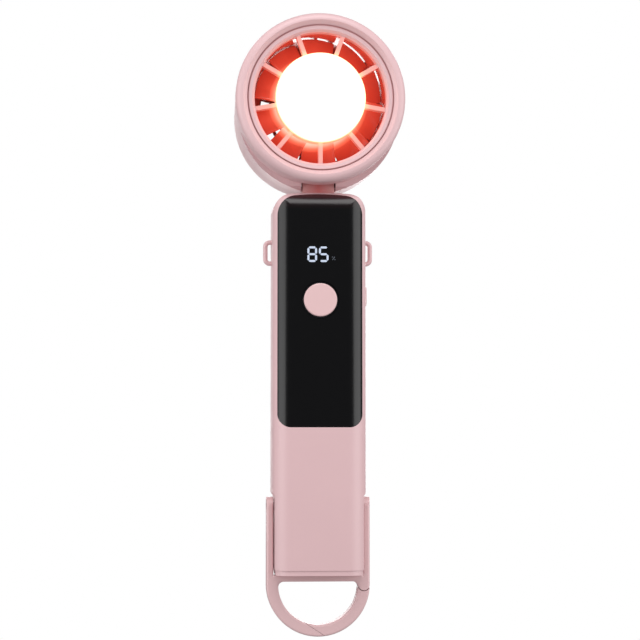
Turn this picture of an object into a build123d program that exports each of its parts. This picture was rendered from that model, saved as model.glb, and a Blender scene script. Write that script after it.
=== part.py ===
"""Handheld turbo fan: tilting ducted head, handle with panel, swinging bracket.

Millimetres. +Z up, the fan faces -Y, +X is the right side seen from the front.
The origin is the lowest point of the bracket's ring, on the handle's axis.
"""
from build123d import *
import math
import os

os.makedirs("parts", exist_ok=True)

# Handle form
HANDLE_WIDTH = 35.0
HANDLE_DEPTH = 28.0
HANDLE_BOTTOM = 25.2
HANDLE_TOP = 166.2
HANDLE_WALL = 2.2
FRONT_CORNER = 7.5
BACK_CORNER = 9.0
ARCH_CORNER = 7.5
ARCH_RISE = 1.6
TOP_EDGE_ROUND = 6.0
WAIST_INSET = 1.0
WAIST_LOW = 52.6
WAIST_HIGH = 53.8
DRAFT_BELOW = 20.0
FACE_SLACK = 0.04

# Front panel, controls and display
PANEL_HALF_WIDTH = HANDLE_WIDTH / 2 - 1.6
PANEL_BOTTOM = 78.2
PANEL_TOP = 165.4
PANEL_THICKNESS = 1.2
PANEL_LOW_CORNER = 5.0
PANEL_LEDGE = 1.5
PANEL_BACK = -7.0
BUTTON_Z = 125.6
BUTTON_RADIUS = 6.2
BUTTON_PROUD = 0.5
BUTTON_TRAVEL = 0.6
BUTTON_EDGE_ROUND = 0.5
BUTTON_FLANGE = 0.6
RING_RADIUS = 7.0
RING_SINK = 0.7
RING_DEPTH = 1.3
RING_CHAMFER = 0.3
STEM_RADIUS = 1.8
STEM_LENGTH = 0.7
SWITCH_WIDTH = 6.0
SWITCH_HEIGHT = 0.7
SWITCH_PLUNGER_RADIUS = 1.7
RUNNING_GAP = 0.1
DIGIT_HEIGHT = 5.8
DIGIT_WIDTH = 3.6
DIGIT_STROKE = 0.75
DIGIT_GAP = 0.12
DIGIT_DEPTH = 0.6
DIGIT_Z = 142.6
DIGIT_CENTRES = (-3.1, 1.2)
LIT_SEGMENTS = ("abcdefg", "acdfg")
PERCENT_X = 4.9
PERCENT_DROP = 1.5
PERCENT_LENGTH = 1.5
PERCENT_STROKE = 0.28
PERCENT_SPREAD = 0.95
PERCENT_DOT_RADIUS = 0.2
PERCENT_LEAN = -35.0
DISPLAY_WIDTH = 17.0
DISPLAY_HEIGHT = 10.5
DISPLAY_FRONT_GAP = 0.8
SIDE_BUTTON_Z = 127.8
SIDE_BUTTON_LENGTH = 7.6
SIDE_BUTTON_WIDTH = 3.6
SIDE_BUTTON_PROUD = 1.0
SIDE_FLANGE_GAP = 0.8
SIDE_SWITCH_WIDTH = 3.6
SIDE_SWITCH_HEIGHT = 1.4
SIDE_SWITCH_REACH = 2.1
SIDE_PLUNGER_RADIUS = 0.8
SIDE_PLUNGER_LENGTH = 0.5
LOOP_Z = 144.05
LOOP_SPAN = 8.0
LOOP_ROD_RADIUS = 0.85
LOOP_REACH = 3.2
LOOP_BEND_RADIUS = 1.6

# Boards, battery and port
BOARD_FRONT = -8.5
BOARD_THICKNESS = 1.2
BOARD_HALF_WIDTH = HANDLE_WIDTH / 2 - 4.5
BOARD_BOTTOM = 107.0
BOARD_TOP = 158.0
BOARD_CORNER = 6.0
RAIL_WIDTH = 6.0
RAIL_DEPTH = 2.0
SIDE_BOARD_THICKNESS = 1.0
SIDE_BOARD_REAR = 4.0
SIDE_BOARD_LENGTH = 12.0
BATTERY_RADIUS = 10.55
BATTERY_LENGTH = 70.2
BATTERY_BOTTOM = 31.0
CUP_HEIGHT = 7.0
CUP_FLOOR = 1.2
TAB_THICKNESS = 0.3
TAB_WIDTH = 14.0
TAB_DEPTH = 7.0
PORT_Z = 150.0
PORT_WIDTH = 8.94
PORT_HEIGHT = 3.26
PORT_POST_LENGTH = 5.6
PORT_POST_RADIUS = 1.4
PORT_POST_GRID = (14.0, 10.0)
PORT_BOARD = (18.0, 14.0)
PORT_BOARD_THICKNESS = 1.0
PORT_SHELL = 0.3
PORT_TONGUE = (6.7, 0.7)

# Bottom cap and swinging bracket
CAP_BOTTOM = 23.3
CAP_INSET = 0.3
CAP_SCREW_SPACING = 20.0
CAP_SCREW_HEAD_RADIUS = 1.7
CAP_SCREW_RADIUS = 0.9
CAP_SCREW_HEAD = 1.0
CAP_SCREW_SINK = 0.4
BRACKET_PIVOT_Z = 48.7
SWEEP_RADIUS = BRACKET_PIVOT_Z - CAP_BOTTOM
BRACKET_HALF_WIDTH = HANDLE_WIDTH / 2 + 1.9
ARM_THICKNESS = 2.6
BAR_TOP = 23.0
BAR_BOTTOM = 20.5
RING_CENTRE_Z = 19.4
RING_BAND = 4.4
RING_HALF_DEPTH = 3.5
RING_EDGE_ROUND = 0.8
OPENING_CORNER = 2.0
PIN_RADIUS = 1.5
PIN_HEAD_RADIUS = 2.2
PIN_HEAD_SINK = 0.9
PIN_HEAD_THICKNESS = 0.7
BOSS_REACH = 2.0
PIN_CLEARANCE = 0.05

# Gate in the bracket's ring
GATE_PIN_RADIUS = 0.7
GATE_EYE_HALF = 1.4
GATE_SLOT_HALF = 1.7
GATE_SEAM = 0.3
SCARF_GAP = 0.12
GATE_PIN_FRONT = -2.8
SPRING_POCKET_RADIUS = 1.7
SPRING_POCKET_Y = 0.1
SPRING_RADIUS = 1.25
SPRING_WIRE_RADIUS = 0.18
SPRING_PITCH = 0.4
SPRING_TURNS = 3
SEAM_INNER_X = -5.4
SEAM_LEAN = 78.0

# Neck and tilt hinge
TILT_Z = 172.0
NECK_HALF_WIDTH = 6.0
NECK_HALF_DEPTH = 4.5
NECK_EYE_RADIUS = 2.8
CHIN_RADIUS = 5.2
CHIN_BAND_RADIUS = 30.5
CHIN_PIN_REACH = 12.0
SLOT_HALF_WIDTH = 6.5
SLOT_HALF_DEPTH = 6.6
CHIN_DRUM_RISE = 3.0
TILT_PIN_RADIUS = 1.5
FLANGE_THICKNESS = 2.0
FLANGE_WIDTH = 17.0
FLANGE_DEPTH = 11.0
FLANGE_DROP = 0.6
NECK_SCREW_SPACING = 14.0
NECK_SCREW_RADIUS = 0.7
NECK_SCREW_HEAD_RADIUS = 1.5
NECK_SCREW_HEAD = 1.2
HINGE_BLOCK_MARGIN = 2.0
HINGE_BLOCK_DEPTH = 16.0
HINGE_BLOCK_HEIGHT = 20.0
HINGE_CLEARANCE = 0.35

# Head
HEAD_Z = 201.2
HEAD_RADIUS = 31.7
HEAD_WALL = 2.0
HEAD_FRONT = -17.4
LIP_Y = -15.6
LIP_RADIUS = 27.2
LIP_FLARE = 1.8
RIM_ROLL = 3.2
DRUM_FRONT_Y = -8.0
DRUM_REAR_Y = 24.0
DRUM_REAR_RADIUS = 30.8
DRUM_REAR_WALL = 1.6
DRUM_REAR_DROP = 2.8
REAR_EDGE_ROUND = 2.4
SCREW_CIRCLE = 24.0
SCREW_COUNT = 3
SCREW_RADIUS = 0.9
SCREW_HEAD_RADIUS = 1.8
SCREW_HEAD_SINK = 1.0
SCREW_HEAD_THICKNESS = 0.8
SCREW_BITE = 2.5
HEAD_REAR = 27.0
REAR_OPENING = 22.0
DUCT_BORE = 24.6
DUCT_WALL = 1.0
DUCT_FRONT = -10.5
DUCT_REAR = 25.0
DUCT_FLANGE_RADIUS = 26.0
RIB_COUNT = 9
RIB_WIDTH = 1.55
RIB_FRONT = -14.6
HUB_RADIUS = 16.9
HUB_RING = 1.4
HUB_FRONT = -14.8
LENS_THICKNESS = 0.8
LED_COUNT = 8
LED_CIRCLE = 9.0
LED_SIZE = 2.8
LED_HEIGHT = 0.7
LAMP_BOARD_THICKNESS = 1.0
LAMP_COVER_THICKNESS = 1.2
REAR_RING_COUNT = 4
REAR_RING_PITCH = 4.4
REAR_SPOKES = 12
REAR_BAR = 1.2
REAR_THICKNESS = 1.6

# Rotor and motor
BLADE_COUNT = 10
BLADE_THICKNESS = 1.1
BLADE_CHORD = 15.5
BLADE_ROOT_PITCH = 48.0
BLADE_TIP_PITCH = 30.0
ROTOR_HUB_RADIUS = 15.4
ROTOR_FRONT = -7.0
ROTOR_REAR = 5.0
ROTOR_TIP_RADIUS = 24.2
HUB_SKIN = 1.4
CUP_RADIUS = 14.0
CUP_SKIN = 0.8
MAGNET_THICKNESS = 1.2
STATOR_RADIUS = 11.6
STATOR_TEETH = 12
SHAFT_RADIUS = 1.0
BEARING_RADIUS = 3.0
MOUNT_Y = 8.0
VANE_COUNT = 7
VANE_LENGTH = 9.0
VANE_THICKNESS = 1.2
MOUNT_THICKNESS = 2.0
BOSS_WALL = 1.4
BOSS_FRONT = -4.0
BEARING_LENGTH = 2.5
STATOR_FRONT = -2.0
STATOR_LENGTH = 5.0
STATOR_CORE_RADIUS = 6.0
TOOTH_WIDTH = 1.2
COIL_WIDTH = 2.6
COIL_REACH = 4.0
COIL_OVERHANG = 0.8

HEAD_AXIS = Axis((0, 0, HEAD_Z), (0, 1, 0))


def save(builder, label):
    """Label one finished piece and write its STEP file."""
    builder.part.label = label
    export_step(builder.part, f"parts/{label}.step")


def facing_plane(y, z):
    """A plane facing forward (-Y) whose origin is on the centre line at y, z."""
    return Plane(origin=(0, y, z), x_dir=(1, 0, 0), z_dir=(0, -1, 0))


def rear_plane(y, z):
    """A plane facing backward (+Y) whose origin is on the centre line at y, z."""
    return Plane(origin=(0, y, z), x_dir=(-1, 0, 0), z_dir=(0, 1, 0))


def handle_outline():
    """Front outline of the handle: arched top, waist drawn in for the bracket's arms."""
    half = HANDLE_WIDTH / 2
    waist = half - WAIST_INSET
    low = HANDLE_BOTTOM - DRAFT_BELOW
    shoulder = HANDLE_TOP - ARCH_RISE
    with BuildSketch() as outline:
        with BuildLine():
            Polyline(
                (-half, shoulder),
                (-half, WAIST_HIGH),
                (-waist, WAIST_LOW),
                (-waist, low),
                (waist, low),
                (waist, WAIST_LOW),
                (half, WAIST_HIGH),
                (half, shoulder),
            )
            ThreePointArc((half, shoulder), (0, HANDLE_TOP), (-half, shoulder))
        make_face()
        fillet(outline.vertices().sort_by(Axis.Y)[-2:], ARCH_CORNER)
    return outline.sketch


def panel_outline(grow):
    """Front outline of the black panel, grown all round by grow."""
    with BuildSketch() as outline:
        with BuildLine():
            side = PANEL_TOP - ARCH_RISE
            Polyline(
                (-PANEL_HALF_WIDTH, side),
                (-PANEL_HALF_WIDTH, PANEL_BOTTOM),
                (PANEL_HALF_WIDTH, PANEL_BOTTOM),
                (PANEL_HALF_WIDTH, side),
            )
            ThreePointArc((PANEL_HALF_WIDTH, side), (0, PANEL_TOP), (-PANEL_HALF_WIDTH, side))
        make_face()
        fillet(outline.vertices().sort_by(Axis.Y)[-2:], ARCH_CORNER)
        fillet(outline.vertices().sort_by(Axis.Y)[:2], PANEL_LOW_CORNER)
        if grow:
            offset(amount=grow)
    return outline.sketch


def handle_block(inset, low, high):
    """The handle's outer form drawn in by inset, cut level at low and high.

    The three outlines are kept FACE_SLACK apart so that no two of their flat faces coincide.
    """
    with BuildPart() as block:
        with BuildSketch(Plane.XY.offset(low)) as section:
            Rectangle(HANDLE_WIDTH - 2 * inset + FACE_SLACK, HANDLE_DEPTH - 2 * inset)
            fillet(section.vertices().sort_by(Axis.Y)[:2], FRONT_CORNER - inset)
            fillet(section.vertices().sort_by(Axis.Y)[-2:], BACK_CORNER - inset)
        extrude(amount=high - low)
        with BuildSketch(Plane.XZ.offset(-HANDLE_DEPTH)):
            add(handle_outline())
            if inset:
                offset(amount=-inset)
        extrude(amount=2 * HANDLE_DEPTH, mode=Mode.INTERSECT)
        with BuildSketch(Plane.YZ.offset(-HANDLE_WIDTH)) as side:
            with Locations((0, (HANDLE_TOP + HANDLE_BOTTOM - DRAFT_BELOW) / 2)):
                Rectangle(HANDLE_DEPTH + FACE_SLACK, HANDLE_TOP - HANDLE_BOTTOM + DRAFT_BELOW)
            fillet(side.vertices().sort_by(Axis.Y)[-2:], TOP_EDGE_ROUND)
            if inset:
                offset(amount=-inset)
        extrude(amount=2 * HANDLE_WIDTH, mode=Mode.INTERSECT)
    return block.part


def sweep_cutter():
    """Everything behind the axis that lies outside the bracket's swept circle."""
    with BuildPart() as cutter:
        with BuildSketch(Plane.YZ):
            with Locations((HANDLE_DEPTH / 2, BRACKET_PIVOT_Z / 2)):
                Rectangle(HANDLE_DEPTH, BRACKET_PIVOT_Z)
            with Locations((0, BRACKET_PIVOT_Z)):
                Circle(SWEEP_RADIUS, mode=Mode.SUBTRACT)
        extrude(amount=HANDLE_WIDTH, both=True)
    return cutter.part


def segment_shapes():
    """The lit bars of the two digits and a small percent sign, flat in X and Z."""
    half_w = (DIGIT_WIDTH - DIGIT_STROKE) / 2
    half_h = (DIGIT_HEIGHT - DIGIT_STROKE) / 2
    flat = half_w * 2 - 2 * DIGIT_GAP
    tall = half_h - 2 * DIGIT_GAP
    places = {
        "a": (0, half_h, flat, 0),
        "d": (0, -half_h, flat, 0),
        "g": (0, 0, flat, 0),
        "b": (half_w, half_h / 2, tall, 90),
        "c": (half_w, -half_h / 2, tall, 90),
        "f": (-half_w, half_h / 2, tall, 90),
        "e": (-half_w, -half_h / 2, tall, 90),
    }
    with BuildSketch() as bars:
        for centre, lit in zip(DIGIT_CENTRES, LIT_SEGMENTS):
            for name in lit:
                x, z, length, turn = places[name]
                tip = DIGIT_STROKE / 2
                reach = length / 2
                with Locations(Location((centre + x, DIGIT_Z + z, 0), (0, 0, turn))):
                    Polygon(
                        (-reach, 0),
                        (-reach + tip, -tip),
                        (reach - tip, -tip),
                        (reach, 0),
                        (reach - tip, tip),
                        (-reach + tip, tip),
                    )
    return bars.sketch


# ---------------------------------------------------------------- handle shell
ledge_side = HANDLE_WIDTH / 2 - HANDLE_WALL
usb_board_y = HANDLE_DEPTH / 2 - HANDLE_WALL / 2 + 0.1 - PORT_POST_LENGTH
boss_face_x = HANDLE_WIDTH / 2 - WAIST_INSET - 0.5
outer_form = handle_block(0, HANDLE_BOTTOM, HANDLE_TOP + 1)
cavity = handle_block(HANDLE_WALL, HANDLE_BOTTOM - 1, HANDLE_TOP + 1)
under_panel = handle_block(PANEL_THICKNESS, HANDLE_BOTTOM, HANDLE_TOP + 1)

with BuildPart() as panel_pocket:
    with BuildSketch(facing_plane(PANEL_BACK, 0)):
        add(panel_outline(0))
    extrude(amount=HANDLE_DEPTH)
    add(under_panel, mode=Mode.SUBTRACT)

with BuildPart() as board_rails:
    for side in (-1, 1):
        rail_y = BOARD_FRONT + BOARD_THICKNESS + RAIL_DEPTH / 2
        with Locations((side * ledge_side, rail_y, (BOARD_TOP + BOARD_BOTTOM) / 2)):
            Box(RAIL_WIDTH, RAIL_DEPTH, BOARD_TOP - BOARD_BOTTOM)
    add(handle_block(HANDLE_WALL / 2, HANDLE_BOTTOM, HANDLE_TOP + 1), mode=Mode.INTERSECT)

with BuildPart() as handle_shell:
    add(outer_form)
    add(cavity, mode=Mode.SUBTRACT)
    add(sweep_cutter(), mode=Mode.SUBTRACT)
    add(panel_pocket.part, mode=Mode.SUBTRACT)
    with BuildSketch(facing_plane(PANEL_BACK, 0)):
        add(panel_outline(-PANEL_LEDGE))
    extrude(amount=HANDLE_DEPTH, mode=Mode.SUBTRACT)
    add(board_rails.part)
    # Bosses for the bracket's pins and posts for the charging board
    for side in (-1, 1):
        boss_face = Plane(origin=(side * boss_face_x, 0, BRACKET_PIVOT_Z), z_dir=(-side, 0, 0))
        with BuildSketch(boss_face):
            Circle(2 * PIN_RADIUS)
        extrude(amount=HANDLE_WALL + BOSS_REACH)
        with BuildSketch(Plane(origin=(0, 0, BRACKET_PIVOT_Z), z_dir=(side, 0, 0))):
            Circle(PIN_RADIUS)
        extrude(amount=HANDLE_WIDTH, mode=Mode.SUBTRACT)
    with BuildSketch(rear_plane(usb_board_y, PORT_Z)):
        with GridLocations(*PORT_POST_GRID, 2, 2):
            Circle(PORT_POST_RADIUS)
    extrude(amount=PORT_POST_LENGTH)
    # Openings: neck, side button, charging port and lanyard loops
    with Locations((0, 0, HANDLE_TOP)):
        Box(2 * NECK_HALF_WIDTH, 2 * NECK_HALF_DEPTH, 4 * HANDLE_WALL, mode=Mode.SUBTRACT)
    with BuildSketch(Plane.YZ.offset(HANDLE_WIDTH / 2 - 2 * HANDLE_WALL)):
        with Locations((0, SIDE_BUTTON_Z)):
            slack = 2 * RUNNING_GAP
            SlotOverall(SIDE_BUTTON_LENGTH + slack, SIDE_BUTTON_WIDTH + slack, rotation=90)
    extrude(amount=HANDLE_WIDTH, mode=Mode.SUBTRACT)
    with BuildSketch(rear_plane(HANDLE_DEPTH / 4, PORT_Z)):
        SlotOverall(PORT_WIDTH, PORT_HEIGHT)
    extrude(amount=HANDLE_DEPTH, mode=Mode.SUBTRACT)
    for side in (-1, 1):
        with BuildSketch(Plane(origin=(0, 0, LOOP_Z), x_dir=(0, 0, 1), z_dir=(side, 0, 0))):
            with GridLocations(LOOP_SPAN, 1, 2, 1):
                Circle(LOOP_ROD_RADIUS)
        extrude(amount=HANDLE_WIDTH, mode=Mode.SUBTRACT)
save(handle_shell, "handle_shell")

# ---------------------------------------------------------------- front panel
panel_front = -HANDLE_DEPTH / 2
with BuildPart() as display_digits:
    with BuildSketch(facing_plane(panel_front + DIGIT_DEPTH, 0)):
        add(segment_shapes())
        with Locations((PERCENT_X, DIGIT_Z - PERCENT_DROP)):
            Rectangle(PERCENT_STROKE, PERCENT_LENGTH, rotation=PERCENT_LEAN)
        for shift in (-PERCENT_SPREAD / 2, PERCENT_SPREAD / 2):
            with Locations((PERCENT_X - shift, DIGIT_Z - PERCENT_DROP + shift)):
                Circle(PERCENT_DOT_RADIUS)
    extrude(amount=DIGIT_DEPTH)
save(display_digits, "display_digits")

with BuildPart() as front_panel:
    add(outer_form)
    with BuildSketch(facing_plane(PANEL_BACK, 0)):
        add(panel_outline(0))
    extrude(amount=HANDLE_DEPTH, mode=Mode.INTERSECT)
    add(under_panel, mode=Mode.SUBTRACT)
    with BuildSketch(facing_plane(panel_front + 2 * PANEL_THICKNESS, BUTTON_Z)):
        Circle(RING_RADIUS)
    extrude(amount=2 * HANDLE_WALL, mode=Mode.SUBTRACT)
    add(display_digits.part, mode=Mode.SUBTRACT)
save(front_panel, "front_panel")

# ---------------------------------------------------------------- power button
ring_front = panel_front + RING_SINK
ring_back = ring_front + RING_DEPTH
with BuildPart() as button_ring:
    with BuildSketch(facing_plane(ring_back, BUTTON_Z)):
        Circle(RING_RADIUS)
        Circle(BUTTON_RADIUS + RUNNING_GAP, mode=Mode.SUBTRACT)
    extrude(amount=ring_back - ring_front)
    front_edges = button_ring.edges().group_by(Axis.Y)[0]
    chamfer(front_edges.sort_by(SortBy.RADIUS)[-1], RING_CHAMFER)
save(button_ring, "button_ring")

button_back = ring_back + BUTTON_TRAVEL + RUNNING_GAP
with BuildPart() as power_button:
    with BuildSketch(facing_plane(button_back, BUTTON_Z)):
        Circle(BUTTON_RADIUS)
    extrude(amount=button_back - panel_front + BUTTON_PROUD)
    fillet(power_button.edges().group_by(Axis.Y)[0], BUTTON_EDGE_ROUND)
    with BuildSketch(facing_plane(button_back, BUTTON_Z)):
        Circle(RING_RADIUS)
    extrude(amount=BUTTON_FLANGE)
    with BuildSketch(rear_plane(button_back, BUTTON_Z)):
        Circle(STEM_RADIUS)
    extrude(amount=STEM_LENGTH)
save(power_button, "power_button")

stem_end = button_back + STEM_LENGTH
with BuildPart() as power_switch:
    with BuildSketch(facing_plane(BOARD_FRONT, BUTTON_Z)):
        RectangleRounded(SWITCH_WIDTH, SWITCH_WIDTH, SWITCH_WIDTH / 10)
    extrude(amount=SWITCH_HEIGHT)
    with BuildSketch(facing_plane(BOARD_FRONT - SWITCH_HEIGHT, BUTTON_Z)):
        Circle(SWITCH_PLUNGER_RADIUS)
    extrude(amount=BOARD_FRONT - SWITCH_HEIGHT - stem_end - BUTTON_TRAVEL - RUNNING_GAP)
save(power_switch, "power_switch")

# ---------------------------------------------------------------- display and boards
with BuildPart() as display_module:
    with BuildSketch(facing_plane(BOARD_FRONT, DIGIT_Z)):
        RectangleRounded(DISPLAY_WIDTH, DISPLAY_HEIGHT, HANDLE_WALL / 3)
    extrude(amount=BOARD_FRONT - panel_front - HANDLE_WALL - DISPLAY_FRONT_GAP)
save(display_module, "display_module")

with BuildPart() as main_board:
    with BuildSketch(facing_plane(BOARD_FRONT + BOARD_THICKNESS, (BOARD_BOTTOM + BOARD_TOP) / 2)):
        RectangleRounded(2 * BOARD_HALF_WIDTH, BOARD_TOP - BOARD_BOTTOM, BOARD_CORNER)
    extrude(amount=BOARD_THICKNESS)
save(main_board, "main_board")

side_face = HANDLE_WIDTH / 2
side_flange_x = side_face - HANDLE_WALL - SIDE_FLANGE_GAP
side_board_x = side_flange_x - BUTTON_TRAVEL - SIDE_SWITCH_REACH - SIDE_BOARD_THICKNESS
side_board_front = BOARD_FRONT + BOARD_THICKNESS
with BuildPart() as side_board:
    board_middle = (side_board_front + SIDE_BOARD_REAR) / 2
    with Locations((side_board_x + SIDE_BOARD_THICKNESS / 2, board_middle, SIDE_BUTTON_Z)):
        Box(SIDE_BOARD_THICKNESS, SIDE_BOARD_REAR - side_board_front, SIDE_BOARD_LENGTH)
save(side_board, "side_board")

with BuildPart() as side_switch:
    switch_x = side_board_x + SIDE_BOARD_THICKNESS
    with Locations((switch_x + SIDE_SWITCH_HEIGHT / 2, 0, SIDE_BUTTON_Z)):
        Box(SIDE_SWITCH_HEIGHT, SIDE_SWITCH_WIDTH, SIDE_SWITCH_WIDTH)
    with Locations((switch_x + SIDE_SWITCH_HEIGHT + 0.2, 0, SIDE_BUTTON_Z)):
        Cylinder(SIDE_PLUNGER_RADIUS, SIDE_PLUNGER_LENGTH, rotation=(0, 90, 0))
save(side_switch, "side_switch")

with BuildPart() as side_button:
    with BuildSketch(Plane.YZ.offset(side_flange_x)):
        with Locations((0, SIDE_BUTTON_Z)):
            SlotOverall(SIDE_BUTTON_LENGTH, SIDE_BUTTON_WIDTH, rotation=90)
    extrude(amount=side_face + SIDE_BUTTON_PROUD - side_flange_x)
    fillet(side_button.edges().group_by(Axis.X)[-1], BUTTON_EDGE_ROUND)
    with BuildSketch(Plane.YZ.offset(side_flange_x)):
        with Locations((0, SIDE_BUTTON_Z)):
            flange = 2 * SIDE_FLANGE_GAP
            SlotOverall(SIDE_BUTTON_LENGTH + flange, SIDE_BUTTON_WIDTH + flange, rotation=90)
    extrude(amount=BUTTON_FLANGE)
save(side_button, "side_button")

with BuildPart() as usb_board:
    with BuildSketch(rear_plane(usb_board_y - PORT_BOARD_THICKNESS, PORT_Z)):
        RectangleRounded(*PORT_BOARD, PORT_BOARD_THICKNESS)
    extrude(amount=PORT_BOARD_THICKNESS)
save(usb_board, "usb_board")

with BuildPart() as usb_port:
    with BuildSketch(rear_plane(usb_board_y, PORT_Z)):
        SlotOverall(PORT_WIDTH, PORT_HEIGHT)
    extrude(amount=HANDLE_DEPTH / 2 - usb_board_y - 0.2)
    with BuildSketch(rear_plane(usb_board_y + 0.8, PORT_Z)):
        SlotOverall(PORT_WIDTH - 2 * PORT_SHELL, PORT_HEIGHT - 2 * PORT_SHELL)
        RectangleRounded(*PORT_TONGUE, PORT_SHELL / 2, mode=Mode.SUBTRACT)
    extrude(amount=HANDLE_DEPTH, mode=Mode.SUBTRACT)
save(usb_port, "usb_port")

# ---------------------------------------------------------------- battery
battery_top = BATTERY_BOTTOM + BATTERY_LENGTH
with BuildPart() as battery_cell:
    with BuildSketch(Plane.XY.offset(BATTERY_BOTTOM)):
        Circle(BATTERY_RADIUS)
    extrude(amount=BATTERY_LENGTH)
    fillet(battery_cell.edges(), 0.8)
save(battery_cell, "battery_cell")

for label, floor_z, direction in (
    ("lower", BATTERY_BOTTOM - TAB_THICKNESS - CUP_FLOOR, 1),
    ("upper", battery_top + TAB_THICKNESS + CUP_FLOOR, -1),
):
    low = min(floor_z, floor_z + direction * CUP_HEIGHT)
    with BuildPart() as battery_cup:
        add(handle_block(HANDLE_WALL + RUNNING_GAP, low, low + CUP_HEIGHT))
        seat_z = floor_z + direction * CUP_FLOOR
        with BuildSketch(Plane(origin=(0, 0, seat_z), z_dir=(0, 0, direction))):
            Circle(BATTERY_RADIUS + RUNNING_GAP)
        extrude(amount=CUP_HEIGHT, mode=Mode.SUBTRACT)
    save(battery_cup, f"battery_cup_{label}")
    with BuildPart() as battery_tab:
        with BuildSketch(Plane(origin=(0, 0, seat_z), z_dir=(0, 0, direction))):
            RectangleRounded(TAB_WIDTH, TAB_DEPTH, TAB_DEPTH / 7)
        extrude(amount=TAB_THICKNESS)
    save(battery_tab, f"battery_tab_{label}")

# ---------------------------------------------------------------- bottom cap
plug_height = BATTERY_BOTTOM - TAB_THICKNESS - CUP_FLOOR - HANDLE_BOTTOM
cap_screw_seat = CAP_BOTTOM + CAP_SCREW_SINK + CAP_SCREW_HEAD
with BuildPart() as cap_screws:
    with BuildSketch(Plane.XY.offset(cap_screw_seat - CAP_SCREW_HEAD)):
        with GridLocations(CAP_SCREW_SPACING, 1, 2, 1):
            Circle(CAP_SCREW_HEAD_RADIUS)
    extrude(amount=CAP_SCREW_HEAD)
    with BuildSketch(Plane.XY.offset(cap_screw_seat)):
        with GridLocations(CAP_SCREW_SPACING, 1, 2, 1):
            Circle(CAP_SCREW_RADIUS)
    extrude(amount=plug_height)
save(cap_screws, "cap_screws")

with BuildPart() as bottom_cap:
    add(handle_block(CAP_INSET, CAP_BOTTOM, HANDLE_BOTTOM))
    add(handle_block(HANDLE_WALL + RUNNING_GAP, HANDLE_BOTTOM, HANDLE_BOTTOM + plug_height))
    add(sweep_cutter(), mode=Mode.SUBTRACT)
    with BuildSketch(Plane.XY.offset(CAP_BOTTOM)):
        with GridLocations(CAP_SCREW_SPACING, 1, 2, 1):
            Circle(CAP_SCREW_HEAD_RADIUS)
    extrude(amount=CAP_SCREW_SINK + CAP_SCREW_HEAD, mode=Mode.SUBTRACT)
    add(cap_screws.part, mode=Mode.SUBTRACT)
save(bottom_cap, "bottom_cap")

# ---------------------------------------------------------------- lanyard loops
for label, side in (("left", -1), ("right", 1)):
    with BuildPart() as lanyard_loop:
        root = side * (side_face - HANDLE_WALL)
        tip = side * (side_face + LOOP_REACH - LOOP_ROD_RADIUS)
        with BuildLine() as rod:
            FilletPolyline(
                (root, 0, LOOP_Z - LOOP_SPAN / 2),
                (tip, 0, LOOP_Z - LOOP_SPAN / 2),
                (tip, 0, LOOP_Z + LOOP_SPAN / 2),
                (root, 0, LOOP_Z + LOOP_SPAN / 2),
                radius=LOOP_BEND_RADIUS,
            )
        with BuildSketch(Plane(origin=rod.line @ 0, z_dir=rod.line % 0)):
            Circle(LOOP_ROD_RADIUS)
        sweep()
    save(lanyard_loop, f"lanyard_loop_{label}")

# ---------------------------------------------------------------- neck
flange_top = HANDLE_TOP - HANDLE_WALL - FLANGE_DROP
with BuildPart() as neck_screws:
    with BuildSketch(Plane.XY.offset(flange_top - FLANGE_THICKNESS - NECK_SCREW_HEAD)):
        with GridLocations(NECK_SCREW_SPACING, 1, 2, 1):
            Circle(NECK_SCREW_HEAD_RADIUS)
    extrude(amount=NECK_SCREW_HEAD)
    with BuildSketch(Plane.XY.offset(flange_top - FLANGE_THICKNESS)):
        with GridLocations(NECK_SCREW_SPACING, 1, 2, 1):
            Circle(NECK_SCREW_RADIUS)
    extrude(amount=FLANGE_THICKNESS)
save(neck_screws, "neck_screws")

with BuildPart() as neck:
    with BuildSketch(Plane.YZ):
        with BuildLine():
            Polyline(
                (-NECK_HALF_DEPTH, flange_top - FLANGE_THICKNESS),
                (NECK_HALF_DEPTH, flange_top - FLANGE_THICKNESS),
                (NECK_HALF_DEPTH, HANDLE_TOP),
                (NECK_EYE_RADIUS, TILT_Z),
                (-NECK_EYE_RADIUS, TILT_Z),
                (-NECK_HALF_DEPTH, HANDLE_TOP),
                close=True,
            )
        make_face()
        with Locations((0, TILT_Z)):
            Circle(NECK_EYE_RADIUS)
    extrude(amount=NECK_HALF_WIDTH, both=True)
    with BuildSketch(Plane.XY.offset(flange_top - FLANGE_THICKNESS)):
        RectangleRounded(FLANGE_WIDTH, FLANGE_DEPTH, NECK_SCREW_HEAD_RADIUS)
    extrude(amount=FLANGE_THICKNESS)
    with BuildSketch(Plane.YZ):
        with Locations((0, TILT_Z)):
            Circle(TILT_PIN_RADIUS + PIN_CLEARANCE)
    extrude(amount=HANDLE_WIDTH, both=True, mode=Mode.SUBTRACT)
    add(neck_screws.part, mode=Mode.SUBTRACT)
save(neck, "neck")

# ---------------------------------------------------------------- bracket
arm_inner = BRACKET_HALF_WIDTH - ARM_THICKNESS
ring_inner = BRACKET_HALF_WIDTH - RING_BAND
gate_x = BRACKET_HALF_WIDTH - RING_BAND / 2
gate_eye = RING_BAND / 2


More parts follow.
